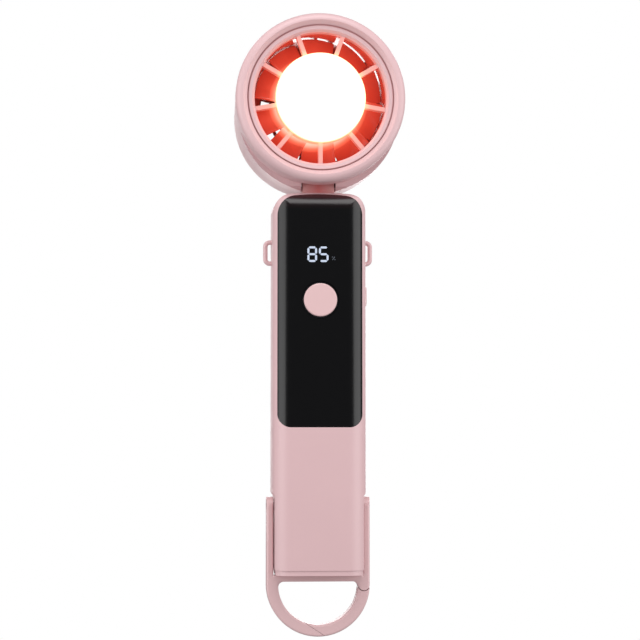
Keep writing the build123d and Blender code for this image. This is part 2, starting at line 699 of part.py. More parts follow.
def bracket_blank():
    """Arms, crossbar and half ring as one rounded piece, before the gate is cut free."""
    with BuildPart() as blank:
        with BuildSketch(Plane.XZ) as outline:
            with Locations((0, RING_CENTRE_Z)):
                Circle(BRACKET_HALF_WIDTH)
            arm_top = BRACKET_PIVOT_Z + 2 * RING_HALF_DEPTH
            with Locations((0, (RING_CENTRE_Z + arm_top) / 2)):
                Rectangle(2 * BRACKET_HALF_WIDTH, arm_top - RING_CENTRE_Z)
            with Locations((0, BAR_TOP + arm_top / 2)):
                Rectangle(2 * arm_inner, arm_top, mode=Mode.SUBTRACT)
            with BuildLine():
                Polyline(
                    (-ring_inner, RING_CENTRE_Z),
                    (-ring_inner, BAR_BOTTOM),
                    (ring_inner, BAR_BOTTOM),
                    (ring_inner, RING_CENTRE_Z),
                )
                ThreePointArc(
                    (ring_inner, RING_CENTRE_Z),
                    (0, RING_CENTRE_Z - ring_inner),
                    (-ring_inner, RING_CENTRE_Z),
                )
            make_face(mode=Mode.SUBTRACT)
        extrude(amount=RING_HALF_DEPTH, both=True)
        upright = blank.edges().filter_by(Axis.Y)
        fillet([e for e in upright if abs(e.center().Z - BAR_BOTTOM) < 0.01], OPENING_CORNER)
        fillet(blank.edges().group_by(Axis.Y)[0], RING_EDGE_ROUND)
        fillet(blank.edges().group_by(Axis.Y)[-1], RING_EDGE_ROUND)
        # Round the arms' upper ends about their pivots
        with BuildSketch(Plane.YZ):
            with Locations((0, BRACKET_PIVOT_Z + RING_HALF_DEPTH)):
                Rectangle(4 * RING_HALF_DEPTH, 2 * RING_HALF_DEPTH + 0.1)
            with Locations((0, BRACKET_PIVOT_Z)):
                Circle(RING_HALF_DEPTH, mode=Mode.SUBTRACT)
        extrude(amount=HANDLE_WIDTH, both=True, mode=Mode.SUBTRACT)
        with Locations((0, 0, BRACKET_PIVOT_Z + 3 * RING_HALF_DEPTH)):
            Box(2 * HANDLE_WIDTH, 4 * RING_HALF_DEPTH, 4 * RING_HALF_DEPTH, mode=Mode.SUBTRACT)
    return blank.part


def gate_region(seam):
    """The part of the ring plane swept by the gate: right of the scarfed seam."""
    drop = math.sqrt(ring_inner**2 - SEAM_INNER_X**2)
    radial = math.atan2(-drop, SEAM_INNER_X)
    lean = radial + math.radians(SEAM_LEAN)
    along = (math.cos(lean), math.sin(lean))
    start = (SEAM_INNER_X - seam * along[1], RING_CENTRE_Z - drop + seam * along[0])
    reach = 3 * BRACKET_HALF_WIDTH
    run_in = RING_BAND
    with BuildPart() as region:
        with BuildSketch(Plane.XZ):
            with BuildLine():
                Polyline(
                    (start[0] - along[0] * run_in, start[1] - along[1] * run_in),
                    (start[0] + along[0] * reach, start[1] + along[1] * reach),
                    (reach, RING_CENTRE_Z),
                    (0, RING_CENTRE_Z),
                    close=True,
                )
            make_face()
        extrude(amount=HANDLE_DEPTH, both=True)
    return region.part


def gate_cylinder(radius, low, high):
    """A cylinder on the gate's pin axis between two depths."""
    with BuildPart() as cylinder:
        with BuildSketch(rear_plane(low, RING_CENTRE_Z)):
            with Locations((-gate_x, 0)):
                Circle(radius)
        extrude(amount=high - low)
    return cylinder.part


def knuckle(radius):
    """The bracket's two cheeks around the gate's pin."""
    with BuildPart() as cheeks:
        add(blank_form)
        add(gate_cylinder(radius, -RING_HALF_DEPTH, RING_HALF_DEPTH), mode=Mode.INTERSECT)
    return cheeks.part


blank_form = bracket_blank()
with BuildPart() as bracket:
    add(blank_form)
    add(gate_region(0), mode=Mode.SUBTRACT)
    add(knuckle(gate_eye))
    add(gate_cylinder(gate_eye + GATE_SEAM, -GATE_SLOT_HALF, GATE_SLOT_HALF), mode=Mode.SUBTRACT)
    add(gate_cylinder(GATE_PIN_RADIUS, GATE_PIN_FRONT, HANDLE_DEPTH), mode=Mode.SUBTRACT)
    with BuildSketch(Plane.YZ):
        with Locations((0, BRACKET_PIVOT_Z)):
            Circle(PIN_RADIUS + PIN_CLEARANCE)
    extrude(amount=HANDLE_WIDTH, both=True, mode=Mode.SUBTRACT)
    for side in (-1, 1):
        recess_x = BRACKET_HALF_WIDTH - PIN_HEAD_SINK - RUNNING_GAP
        with BuildSketch(Plane(origin=(side * recess_x, 0, BRACKET_PIVOT_Z), z_dir=(side, 0, 0))):
            Circle(PIN_HEAD_RADIUS + RUNNING_GAP)
        extrude(amount=2 * PIN_HEAD_SINK, mode=Mode.SUBTRACT)
save(bracket, "bracket")

with BuildPart() as gate:
    add(blank_form)
    add(gate_region(SCARF_GAP), mode=Mode.INTERSECT)
    add(gate_cylinder(gate_eye + GATE_SEAM, -HANDLE_DEPTH, HANDLE_DEPTH), mode=Mode.SUBTRACT)
    with Locations((gate_x, 0, RING_CENTRE_Z + BRACKET_HALF_WIDTH - 1.0)):
        Box(2 * RING_BAND, HANDLE_DEPTH, 2 * BRACKET_HALF_WIDTH, mode=Mode.SUBTRACT)
    with BuildSketch(Plane.XZ):
        with Locations((gate_x, RING_CENTRE_Z)):
            Circle(gate_eye)
        with Locations((gate_x, RING_CENTRE_Z - gate_eye)):
            Rectangle(0.8 * RING_BAND, RING_BAND)
    extrude(amount=GATE_EYE_HALF, both=True)
    add(gate_cylinder(GATE_PIN_RADIUS + PIN_CLEARANCE, -HANDLE_DEPTH, HANDLE_DEPTH), mode=Mode.SUBTRACT)
    add(gate_cylinder(SPRING_POCKET_RADIUS, SPRING_POCKET_Y, HANDLE_DEPTH), mode=Mode.SUBTRACT)
save(gate, "gate")

with BuildPart() as gate_pin:
    add(gate_cylinder(GATE_PIN_RADIUS, GATE_PIN_FRONT, RING_HALF_DEPTH))
save(gate_pin, "gate_pin")

with BuildPart() as gate_spring:
    with BuildLine() as coil:
        Helix(
            pitch=SPRING_PITCH,
            height=SPRING_TURNS * SPRING_PITCH,
            radius=SPRING_RADIUS,
            center=(gate_x, SPRING_POCKET_Y + SPRING_WIRE_RADIUS + 0.02, RING_CENTRE_Z),
            direction=(0, 1, 0),
        )
    with BuildSketch(Plane(origin=coil.line @ 0, z_dir=coil.line % 0)):
        Circle(SPRING_WIRE_RADIUS)
    sweep(is_frenet=True)
save(gate_spring, "gate_spring")

pin_root = boss_face_x - HANDLE_WALL - BOSS_REACH
for label, side in (("left", -1), ("right", 1)):
    with BuildPart() as bracket_pin:
        with BuildSketch(Plane(origin=(side * pin_root, 0, BRACKET_PIVOT_Z), z_dir=(side, 0, 0))):
            Circle(PIN_RADIUS)
        head_x = BRACKET_HALF_WIDTH - PIN_HEAD_SINK
        extrude(amount=head_x + PIN_HEAD_THICKNESS - pin_root)
        with BuildSketch(Plane(origin=(side * head_x, 0, BRACKET_PIVOT_Z), z_dir=(side, 0, 0))):
            Circle(PIN_HEAD_RADIUS)
        extrude(amount=PIN_HEAD_THICKNESS)
    save(bracket_pin, f"bracket_pin_{label}")

# ---------------------------------------------------------------- head shell
def turned(points):
    """Revolve a closed outline of (radius, y) points about the head's axis."""
    with BuildPart() as body:
        with BuildSketch(Plane.YZ):
            with BuildLine():
                Polyline([(y, HEAD_Z + r) for r, y in points], close=True)
            make_face()
        revolve(axis=HEAD_AXIS)
    return body.part


def head_disc(radius, low, high):
    """A cylinder on the head's axis between two depths."""
    with BuildPart() as disc:
        with BuildSketch(rear_plane(low, HEAD_Z)):
            Circle(radius)
        extrude(amount=high - low)
    return disc.part


inner_radius = HEAD_RADIUS - HEAD_WALL
duct_space = DUCT_BORE + DUCT_WALL + RUNNING_GAP
rear_z = HEAD_Z - DRUM_REAR_DROP
with BuildPart() as head_shell:
    # Rolled front rim
    with BuildSketch(Plane.YZ):
        with BuildLine():
            Polyline(
                (LIP_Y, HEAD_Z + LIP_RADIUS),
                (HEAD_FRONT, HEAD_Z + LIP_RADIUS + LIP_FLARE),
            )
            ThreePointArc(
                (HEAD_FRONT, HEAD_Z + LIP_RADIUS + LIP_FLARE),
                (HEAD_FRONT + RIM_ROLL / 6, HEAD_Z + HEAD_RADIUS - RIM_ROLL / 3.5),
                (HEAD_FRONT + RIM_ROLL, HEAD_Z + HEAD_RADIUS),
            )
            Polyline(
                (HEAD_FRONT + RIM_ROLL, HEAD_Z + HEAD_RADIUS),
                (DRUM_FRONT_Y, HEAD_Z + HEAD_RADIUS),
                (DRUM_FRONT_Y, HEAD_Z + inner_radius),
                (DUCT_FRONT - 0.5, HEAD_Z + inner_radius),
                (DUCT_FRONT - 0.5, HEAD_Z + LIP_RADIUS),
                (LIP_Y, HEAD_Z + LIP_RADIUS),
            )
        make_face()
    revolve(axis=HEAD_AXIS)
    # Drum, dropping toward the rear
    with BuildSketch(rear_plane(DRUM_FRONT_Y, HEAD_Z)):
        Circle(HEAD_RADIUS)
    with BuildSketch(rear_plane(DRUM_REAR_Y, rear_z)):
        Circle(DRUM_REAR_RADIUS)
    loft()
    with BuildSketch(rear_plane(DRUM_REAR_Y, rear_z)):
        Circle(DRUM_REAR_RADIUS)
    extrude(amount=HEAD_REAR - DRUM_REAR_Y)
    fillet(head_shell.edges().filter_by(GeomType.CIRCLE).group_by(Axis.Y)[-1], REAR_EDGE_ROUND)
    # Chin band around the hinge, rounded below so that it clears the handle
    with BuildSketch(rear_plane(-CHIN_RADIUS, rear_z)) as band:
        with Locations((0, TILT_Z - CHIN_RADIUS + CHIN_BAND_RADIUS - rear_z)):
            Circle(CHIN_BAND_RADIUS)
    extrude(amount=2 * CHIN_RADIUS)
    with BuildSketch(Plane.YZ):
        with Locations((0, TILT_Z - CHIN_RADIUS)):
            Rectangle(3 * CHIN_RADIUS, 2 * CHIN_RADIUS)
        with Locations((0, TILT_Z)):
            Circle(CHIN_RADIUS, mode=Mode.SUBTRACT)
        with Locations((0, TILT_Z)):
            Rectangle(4 * CHIN_RADIUS, 2 * CHIN_DRUM_RISE, mode=Mode.SUBTRACT)
    extrude(amount=HEAD_RADIUS, both=True, mode=Mode.SUBTRACT)
    # Hollow it, keeping a block around the hinge
    with BuildPart(mode=Mode.PRIVATE) as hollow:
        with BuildSketch(rear_plane(DRUM_FRONT_Y, HEAD_Z)):
            Circle(inner_radius)
        with BuildSketch(rear_plane(DRUM_REAR_Y, rear_z)):
            Circle(DRUM_REAR_RADIUS - DRUM_REAR_WALL)
        loft()
        with BuildSketch(rear_plane(DRUM_REAR_Y, rear_z)):
            Circle(DRUM_REAR_RADIUS - DRUM_REAR_WALL)
        extrude(amount=DUCT_REAR - DRUM_REAR_Y)
        with Locations((0, 0, TILT_Z)):
            Box(
                2 * (CHIN_PIN_REACH + HINGE_BLOCK_MARGIN),
                HINGE_BLOCK_DEPTH,
                HINGE_BLOCK_HEIGHT,
                mode=Mode.SUBTRACT,
            )
        add(head_disc(duct_space, DRUM_FRONT_Y, DRUM_REAR_Y))
    add(hollow.part, mode=Mode.SUBTRACT)
    add(head_disc(REAR_OPENING, DRUM_REAR_Y, HEAD_REAR + 1), mode=Mode.SUBTRACT)
    with BuildSketch(Plane.YZ):
        with Locations((0, TILT_Z - HINGE_BLOCK_HEIGHT / 2)):
            Rectangle(2 * SLOT_HALF_DEPTH, HINGE_BLOCK_HEIGHT)
        with Locations((0, TILT_Z)):
            Circle(NECK_EYE_RADIUS + HINGE_CLEARANCE)
    extrude(amount=SLOT_HALF_WIDTH, both=True, mode=Mode.SUBTRACT)
    with BuildSketch(Plane.YZ):
        with Locations((0, TILT_Z)):
            Circle(TILT_PIN_RADIUS)
    extrude(amount=CHIN_PIN_REACH, both=True, mode=Mode.SUBTRACT)
    # Screw holes in the rear flange
    with BuildSketch(rear_plane(DUCT_REAR - 1, HEAD_Z)):
        with PolarLocations(SCREW_CIRCLE, SCREW_COUNT, start_angle=-90):
            Circle(SCREW_RADIUS)
    extrude(amount=4.0, mode=Mode.SUBTRACT)
    with BuildSketch(rear_plane(HEAD_REAR - SCREW_HEAD_SINK, HEAD_Z)):
        with PolarLocations(SCREW_CIRCLE, SCREW_COUNT, start_angle=-90):
            Circle(SCREW_HEAD_RADIUS)
    extrude(amount=4.0, mode=Mode.SUBTRACT)
save(head_shell, "head_shell")

with BuildPart() as head_screws:
    with BuildSketch(rear_plane(DUCT_REAR - SCREW_BITE, HEAD_Z)):
        with PolarLocations(SCREW_CIRCLE, SCREW_COUNT, start_angle=-90):
            Circle(SCREW_RADIUS)
    extrude(amount=HEAD_REAR - SCREW_HEAD_SINK - DUCT_REAR + SCREW_BITE)
    with BuildSketch(rear_plane(HEAD_REAR - SCREW_HEAD_SINK, HEAD_Z)):
        with PolarLocations(SCREW_CIRCLE, SCREW_COUNT, start_angle=-90):
            Circle(SCREW_HEAD_RADIUS)
    extrude(amount=SCREW_HEAD_THICKNESS)
save(head_screws, "head_screws")

with BuildPart() as hinge_pin:
    with BuildSketch(Plane.YZ):
        with Locations((0, TILT_Z)):
            Circle(TILT_PIN_RADIUS)
    extrude(amount=CHIN_PIN_REACH, both=True)
save(hinge_pin, "hinge_pin")

with BuildPart() as friction_washers:
    washer = SLOT_HALF_WIDTH - NECK_HALF_WIDTH - PIN_CLEARANCE
    for side in (-1, 1):
        start = side * (NECK_HALF_WIDTH + PIN_CLEARANCE)
        with BuildSketch(Plane(origin=(start, 0, TILT_Z), z_dir=(side, 0, 0))):
            Circle(NECK_EYE_RADIUS)
            Circle(TILT_PIN_RADIUS, mode=Mode.SUBTRACT)
        extrude(amount=washer)
save(friction_washers, "friction_washers")

# ---------------------------------------------------------------- duct and motor mount
with BuildPart() as duct:
    add(
        turned(
            [
                (DUCT_BORE, DUCT_FRONT),
                (DUCT_BORE + DUCT_WALL, DUCT_FRONT),
                (DUCT_BORE + DUCT_WALL, DUCT_REAR - 3),
                (DUCT_FLANGE_RADIUS, DUCT_REAR - 3),
                (DUCT_FLANGE_RADIUS, DUCT_REAR),
                (REAR_OPENING - 0.7, DUCT_REAR),
                (REAR_OPENING - 0.7, DUCT_REAR - 1),
                (DUCT_BORE, DUCT_REAR - 4),
            ]
        )
    )
    with BuildSketch(rear_plane(MOUNT_Y, HEAD_Z)):
        with PolarLocations((DUCT_BORE + ROTOR_HUB_RADIUS) / 2, VANE_COUNT, start_angle=90):
            Rectangle(DUCT_BORE - ROTOR_HUB_RADIUS + DUCT_WALL, VANE_THICKNESS)
    extrude(amount=VANE_LENGTH)
    add(head_disc(ROTOR_HUB_RADIUS - BOSS_WALL, MOUNT_Y, MOUNT_Y + MOUNT_THICKNESS))
    add(head_disc(BEARING_RADIUS + BOSS_WALL, BOSS_FRONT, MOUNT_Y + MOUNT_THICKNESS))
    with BuildSketch(rear_plane(MOUNT_Y, HEAD_Z)):
        Circle(ROTOR_HUB_RADIUS)
        Circle(ROTOR_HUB_RADIUS - BOSS_WALL, mode=Mode.SUBTRACT)
    extrude(amount=VANE_LENGTH)
    add(head_disc(BEARING_RADIUS, -6.0, MOUNT_Y + 6), mode=Mode.SUBTRACT)
    add(head_screws.part, mode=Mode.SUBTRACT)
save(duct, "duct")

with BuildPart() as tail_cap:
    add(
        turned(
            [
                (0, MOUNT_Y + VANE_LENGTH),
                (ROTOR_HUB_RADIUS, MOUNT_Y + VANE_LENGTH),
                (ROTOR_HUB_RADIUS - 1.5, MOUNT_Y + VANE_LENGTH + 3),
                (ROTOR_HUB_RADIUS - 6.0, MOUNT_Y + VANE_LENGTH + 5.5),
                (0, MOUNT_Y + VANE_LENGTH + 6.5),
            ]
        )
    )
    add(head_disc(ROTOR_HUB_RADIUS - 1.5, MOUNT_Y + VANE_LENGTH - 1.5, MOUNT_Y + VANE_LENGTH))
save(tail_cap, "tail_cap")

with BuildPart() as motor_board:
    with BuildSketch(rear_plane(MOUNT_Y + MOUNT_THICKNESS, HEAD_Z)):
        Circle(ROTOR_HUB_RADIUS - 1.6)
        Circle(BEARING_RADIUS, mode=Mode.SUBTRACT)
    extrude(amount=1.0)
save(motor_board, "motor_board")

with BuildPart() as motor_bearings:
    for start in (BOSS_FRONT, MOUNT_Y + MOUNT_THICKNESS - BEARING_LENGTH):
        with BuildSketch(rear_plane(start, HEAD_Z)):
            Circle(BEARING_RADIUS)
            Circle(SHAFT_RADIUS + PIN_CLEARANCE, mode=Mode.SUBTRACT)
        extrude(amount=BEARING_LENGTH)
save(motor_bearings, "motor_bearings")

with BuildPart() as stator_core:
    with BuildSketch(rear_plane(STATOR_FRONT, HEAD_Z)):
        Circle(STATOR_CORE_RADIUS)
        with PolarLocations(STATOR_RADIUS - STATOR_CORE_RADIUS / 2, STATOR_TEETH):
            Rectangle(STATOR_CORE_RADIUS, TOOTH_WIDTH)
        Circle(BEARING_RADIUS + BOSS_WALL, mode=Mode.SUBTRACT)
    extrude(amount=STATOR_LENGTH)
save(stator_core, "stator_core")

with BuildPart() as stator_coils:
    with BuildSketch(rear_plane(STATOR_FRONT - COIL_OVERHANG, HEAD_Z)):
        with PolarLocations(STATOR_CORE_RADIUS + COIL_REACH / 2 + 0.2, STATOR_TEETH):
            Rectangle(COIL_REACH, COIL_WIDTH)
    extrude(amount=STATOR_LENGTH + 2 * COIL_OVERHANG)
    add(stator_core.part, mode=Mode.SUBTRACT)
save(stator_coils, "stator_coils")

with BuildPart() as motor_shaft:
    add(head_disc(SHAFT_RADIUS, ROTOR_FRONT + HUB_SKIN, MOUNT_Y + MOUNT_THICKNESS))
save(motor_shaft, "motor_shaft")

# ---------------------------------------------------------------- impeller and rotor
cup_front = ROTOR_FRONT + HUB_SKIN
with BuildPart() as rotor_cup:
    add(head_disc(CUP_RADIUS, cup_front, ROTOR_REAR - 1))
    add(head_disc(CUP_RADIUS - CUP_SKIN, cup_front + CUP_SKIN, ROTOR_REAR), mode=Mode.SUBTRACT)
    add(head_disc(SHAFT_RADIUS, -HEAD_REAR, HEAD_REAR), mode=Mode.SUBTRACT)
save(rotor_cup, "rotor_cup")

with BuildPart() as magnet_ring:
    add(head_disc(CUP_RADIUS - CUP_SKIN, -2.5, ROTOR_REAR - 1.5))
    add(head_disc(CUP_RADIUS - CUP_SKIN - MAGNET_THICKNESS, -HEAD_REAR, HEAD_REAR), mode=Mode.SUBTRACT)
save(magnet_ring, "magnet_ring")

with BuildPart() as blade:
    middle = (ROTOR_FRONT + ROTOR_REAR) / 2
    for radius, pitch in ((ROTOR_HUB_RADIUS - 0.9, BLADE_ROOT_PITCH), (DUCT_BORE + 1, BLADE_TIP_PITCH)):
        with BuildSketch(Plane(origin=(0, middle, HEAD_Z + radius), x_dir=(1, 0, 0), z_dir=(0, 0, 1))):
            SlotOverall(BLADE_CHORD, BLADE_THICKNESS, rotation=pitch)
    loft()
with BuildPart() as impeller:
    for turn in range(BLADE_COUNT):
        add(blade.part.rotate(HEAD_AXIS, turn * 360 / BLADE_COUNT))
    add(head_disc(ROTOR_TIP_RADIUS, ROTOR_FRONT, ROTOR_REAR), mode=Mode.INTERSECT)
    add(head_disc(ROTOR_HUB_RADIUS, ROTOR_FRONT, ROTOR_REAR))
    add(head_disc(CUP_RADIUS, cup_front, HEAD_REAR), mode=Mode.SUBTRACT)
save(impeller, "impeller")

# ---------------------------------------------------------------- front grille and lamp
hub_back = DUCT_FRONT + LAMP_COVER_THICKNESS
with BuildPart() as front_grille:
    add(
        turned(
            [
                (DUCT_BORE + RUNNING_GAP, DUCT_FRONT),
                (DUCT_BORE + RUNNING_GAP, LIP_Y + 1.2),
                (DUCT_BORE + 1.0, LIP_Y - 0.1),
                (LIP_RADIUS - RUNNING_GAP, LIP_Y - 0.4),
                (LIP_RADIUS - RUNNING_GAP, DUCT_FRONT),
            ]
        )
    )
    with BuildSketch(facing_plane(DUCT_FRONT, HEAD_Z)):
        with PolarLocations((HUB_RADIUS + DUCT_BORE) / 2, RIB_COUNT, start_angle=-90):
            Rectangle(DUCT_BORE - HUB_RADIUS + 1.4, RIB_WIDTH)
    extrude(amount=DUCT_FRONT - RIB_FRONT)
    add(head_disc(HUB_RADIUS, HUB_FRONT, hub_back))
    add(head_disc(HUB_RADIUS - HUB_RING, HUB_FRONT - 1, hub_back + 1), mode=Mode.SUBTRACT)
save(front_grille, "front_grille")

lamp_radius = HUB_RADIUS - HUB_RING
with BuildPart() as lamp_lens:
    add(head_disc(HUB_RADIUS, HUB_FRONT - LENS_THICKNESS, HUB_FRONT))
    add(head_disc(lamp_radius - RUNNING_GAP, HUB_FRONT, HUB_FRONT + 1.0))
    add(head_disc(lamp_radius - 1.0, HUB_FRONT, HUB_FRONT + 2.0), mode=Mode.SUBTRACT)
    fillet(lamp_lens.edges().group_by(Axis.Y)[0], 0.6)
save(lamp_lens, "lamp_lens")

lamp_board_y = hub_back - LAMP_COVER_THICKNESS
lamp_board_front = lamp_board_y - LAMP_BOARD_THICKNESS
with BuildPart() as lamp_board:
    add(head_disc(lamp_radius - RUNNING_GAP, lamp_board_front, lamp_board_y))
save(lamp_board, "lamp_board")

with BuildPart() as lamp_leds:
    with BuildSketch(facing_plane(lamp_board_front, HEAD_Z)):
        with PolarLocations(LED_CIRCLE, LED_COUNT):
            RectangleRounded(LED_SIZE, LED_SIZE, LED_SIZE / 10)
    extrude(amount=LED_HEIGHT)
save(lamp_leds, "lamp_leds")

with BuildPart() as lamp_cover:
    add(head_disc(lamp_radius - RUNNING_GAP, lamp_board_y, hub_back))
save(lamp_cover, "lamp_cover")

# ---------------------------------------------------------------- rear grille
with BuildPart() as rear_grille:
    with BuildSketch(rear_plane(DUCT_REAR, HEAD_Z)):
        outer = REAR_OPENING - RUNNING_GAP
        for ring in range(REAR_RING_COUNT):
            radius = outer - ring * REAR_RING_PITCH
            Circle(radius)
            Circle(radius - REAR_BAR, mode=Mode.SUBTRACT)
        Circle(REAR_RING_PITCH)
        spoke = outer - REAR_RING_PITCH
        with PolarLocations((outer + REAR_RING_PITCH - REAR_BAR) / 2, REAR_SPOKES, start_angle=15):
            Rectangle(spoke, REAR_BAR)
    extrude(amount=REAR_THICKNESS)
save(rear_grille, "rear_grille")
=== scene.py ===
import math
import bpy
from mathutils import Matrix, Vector


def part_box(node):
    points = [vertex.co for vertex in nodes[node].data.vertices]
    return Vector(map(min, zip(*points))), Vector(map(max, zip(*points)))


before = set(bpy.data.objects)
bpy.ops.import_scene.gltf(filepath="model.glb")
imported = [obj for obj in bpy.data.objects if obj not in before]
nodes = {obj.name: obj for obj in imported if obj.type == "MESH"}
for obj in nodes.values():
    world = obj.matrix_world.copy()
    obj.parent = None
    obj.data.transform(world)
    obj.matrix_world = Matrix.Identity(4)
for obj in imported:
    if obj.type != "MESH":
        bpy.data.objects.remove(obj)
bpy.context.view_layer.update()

# ---- Handle shell and bottom cap -----------------------------------------
# The shell is injection-moulded pink ABS with a fine spark-eroded satin texture.
# It is one tube, closed at the arched top, that the battery slides up into; the cap
# of the same plastic closes it with two screws.


def srgb(r, g, b):
    """A screen colour from 0 to 255 as the linear values that a shader takes."""
    def linear(v):
        v = v / 255.0
        return v / 12.92 if v <= 0.04045 else ((v + 0.055) / 1.055) ** 2.4
    return (linear(r), linear(g), linear(b), 1.0)


def noise(tree, scale, detail):
    """A noise texture that is fixed to the object."""
    place = tree.nodes.new("ShaderNodeTexCoord")
    pattern = tree.nodes.new("ShaderNodeTexNoise")
    pattern.inputs["Scale"].default_value = scale
    pattern.inputs["Detail"].default_value = detail
    tree.links.new(place.outputs["Object"], pattern.inputs["Vector"])
    return pattern.outputs["Fac"]


def spread(tree, value, low, high):
    """A 0 to 1 value stretched to run from low to high."""
    stretch = tree.nodes.new("ShaderNodeMapRange")
    stretch.inputs["To Min"].default_value = low
    stretch.inputs["To Max"].default_value = high
    tree.links.new(value, stretch.inputs["Value"])
    return stretch.outputs["Result"]


def plastic(name, color, roughness, grain=900.0, depth=0.00001, mottle=0.03, speck=0.05,
            metallic=0.0, coat=0.0):
    """Moulded or metal finish: mottled colour, uneven roughness and a fine grain."""
    material = bpy.data.materials.new(name)
    material.use_nodes = True
    tree = material.node_tree
    surface = tree.nodes["Principled BSDF"]
    surface.inputs["Metallic"].default_value = metallic
    surface.inputs["Coat Weight"].default_value = coat
    surface.inputs["Coat Roughness"].default_value = 0.05
    tone = tree.nodes.new("ShaderNodeVectorMath")
    tone.name = "tone"
    tone.operation = "SCALE"
    tone.inputs[0].default_value = color[:3]
    tree.links.new(spread(tree, noise(tree, 60.0, 4.0), 1 - mottle, 1 + mottle), tone.inputs["Scale"])
    tree.links.new(tone.outputs["Vector"], surface.inputs["Base Color"])
    fine = noise(tree, grain, 3.0)
    tree.links.new(
        spread(tree, fine, max(0.02, roughness - speck), min(1.0, roughness + speck)),
        surface.inputs["Roughness"],
    )
    bump = tree.nodes.new("ShaderNodeBump")
    bump.inputs["Strength"].default_value = 0.25
    bump.inputs["Distance"].default_value = depth
    tree.links.new(fine, bump.inputs["Height"])
    tree.links.new(bump.outputs["Normal"], surface.inputs["Normal"])
    return material


def dress(material, slot, *names):
    """Give CAD nodes a material. The slot argument is not used."""
    for name in names:
        node = nodes[name]
        node.data.materials.clear()
        node.data.materials.append(material)


PINK = srgb(220, 184, 186)
pink = plastic("pink_satin", PINK, 0.42)
dress(pink, "pink_shell", "handle_shell", "bottom_cap")

# ---- Front panel ----------------------------------------------------------
# A gloss black acrylic face, hard-coated, glued into a step in the shell. Its
# arched top carries a dark red painted reflection of the duct above.


def ramp(tree, value, stops):
    """A colour ramp with one element at each (position, colour) stop."""
    colours = tree.nodes.new("ShaderNodeValToRGB")
    elements = colours.color_ramp.elements
    while len(elements) < len(stops):
        elements.new(0.5)
    for element, (position, colour) in zip(elements, stops):
        element.position = position
        element.color = colour
    tree.links.new(value, colours.inputs["Fac"])
    return colours.outputs["Color"]


def along(tree, axis, stops):
    """A colour that changes along one axis, from (metres, colour) stops."""
    low = stops[0][0]
    high = stops[-1][0]
    place = tree.nodes.new("ShaderNodeTexCoord")
    split = tree.nodes.new("ShaderNodeSeparateXYZ")
    tree.links.new(place.outputs["Object"], split.inputs["Vector"])
    reach = tree.nodes.new("ShaderNodeMapRange")
    reach.inputs["From Min"].default_value = low
    reach.inputs["From Max"].default_value = high
    tree.links.new(split.outputs[axis], reach.inputs["Value"])
    return ramp(tree, reach.outputs["Result"], [((at - low) / (high - low), c) for at, c in stops])


PANEL_BLACK = srgb(7, 7, 9)
panel_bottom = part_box("front_panel")[0][2]
panel_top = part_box("front_panel")[1][2]
gloss = plastic("panel_gloss", PANEL_BLACK, 0.24, grain=300.0, depth=0.000004, speck=0.03)
gloss_tree = gloss.node_tree
gloss_tree.nodes["Principled BSDF"].inputs["Specular IOR Level"].default_value = 0.4
# Painted reflection: the top few millimetres of the panel turn dark red, for the duct mirrored in it.
painted_duct_reflection = along(gloss_tree, "Z", (
    (panel_bottom, PANEL_BLACK),
    (panel_top - 0.006, PANEL_BLACK),
    (panel_top - 0.002, srgb(34, 18, 21)),
    (panel_top, srgb(76, 37, 40)),
))
gloss_tree.links.new(painted_duct_reflection, gloss_tree.nodes["tone"].inputs[0])
dress(gloss, "black_gloss", "front_panel")

# ---- Digits ---------------------------------------------------------------
# The lit bars of a two-digit display, which glow a cool white through the panel,
# and its small percent sign, which is dimmer.


def glowing(material, colour, strength):
    """Make a finish give off light of its own."""
    surface = material.node_tree.nodes["Principled BSDF"]
    surface.inputs["Emission Color"].default_value = colour
    surface.inputs["Emission Strength"].default_value = strength
    return material


LAST_DIGIT_EDGE = 0.0036
LIT_BAR = srgb(178, 188, 206)
DIM_BAR = srgb(70, 74, 82)
digits = glowing(plastic("digit_light", srgb(150, 158, 170), 0.4), LIT_BAR, 0.4)
digit_tree = digits.node_tree
dimmed = along(digit_tree, "X", (
    (0.0, LIT_BAR),
    (LAST_DIGIT_EDGE, LIT_BAR),
    (LAST_DIGIT_EDGE + 0.0002, DIM_BAR),
    (LAST_DIGIT_EDGE + 0.003, DIM_BAR),
))
digit_tree.links.new(dimmed, digit_tree.nodes["tone"].inputs[0])
digit_tree.links.new(dimmed, digit_tree.nodes["Principled BSDF"].inputs["Emission Color"])
dress(digits, "digit_glow", "display_digits")

# ---- Power button, its ring and the side button ---------------------------
# The round key and the slim side key are moulded in the shell's pink. The key sits
# in a gloss black ring whose front edge is chamfered.
pink_key = plastic("pink_key", srgb(226, 190, 190), 0.34)
dress(pink_key, "pink_shell", "power_button", "side_button")
ring_gloss = plastic("ring_gloss", srgb(66, 66, 70), 0.16, grain=300.0, speck=0.03, metallic=0.7)
dress(ring_gloss, "black_gloss", "button_ring")

# ---- Lanyard loops --------------------------------------------------------
# Two bent plastic eyes, moulded in the shell's colour and held in holes in its
# sides, for a wrist cord.
dress(pink, "pink_shell", "lanyard_loop_left", "lanyard_loop_right")

# ---- Bracket, gate and their pins -----------------------------------------
# The swinging bracket is one tough pink moulding: two flat arms, a crossbar and
# a ring below it. The gate closes the ring's right side on a steel pin and spring.
strong_pink = plastic("pink_tough", srgb(224, 188, 189), 0.36, grain=700.0)
dress(strong_pink, "pink_shell", "bracket", "gate")
steel = plastic("steel", srgb(190, 190, 192), 0.3, grain=1500.0, metallic=1.0)
dress(steel, "steel", "bracket_pin_left", "bracket_pin_right", "gate_pin", "gate_spring")
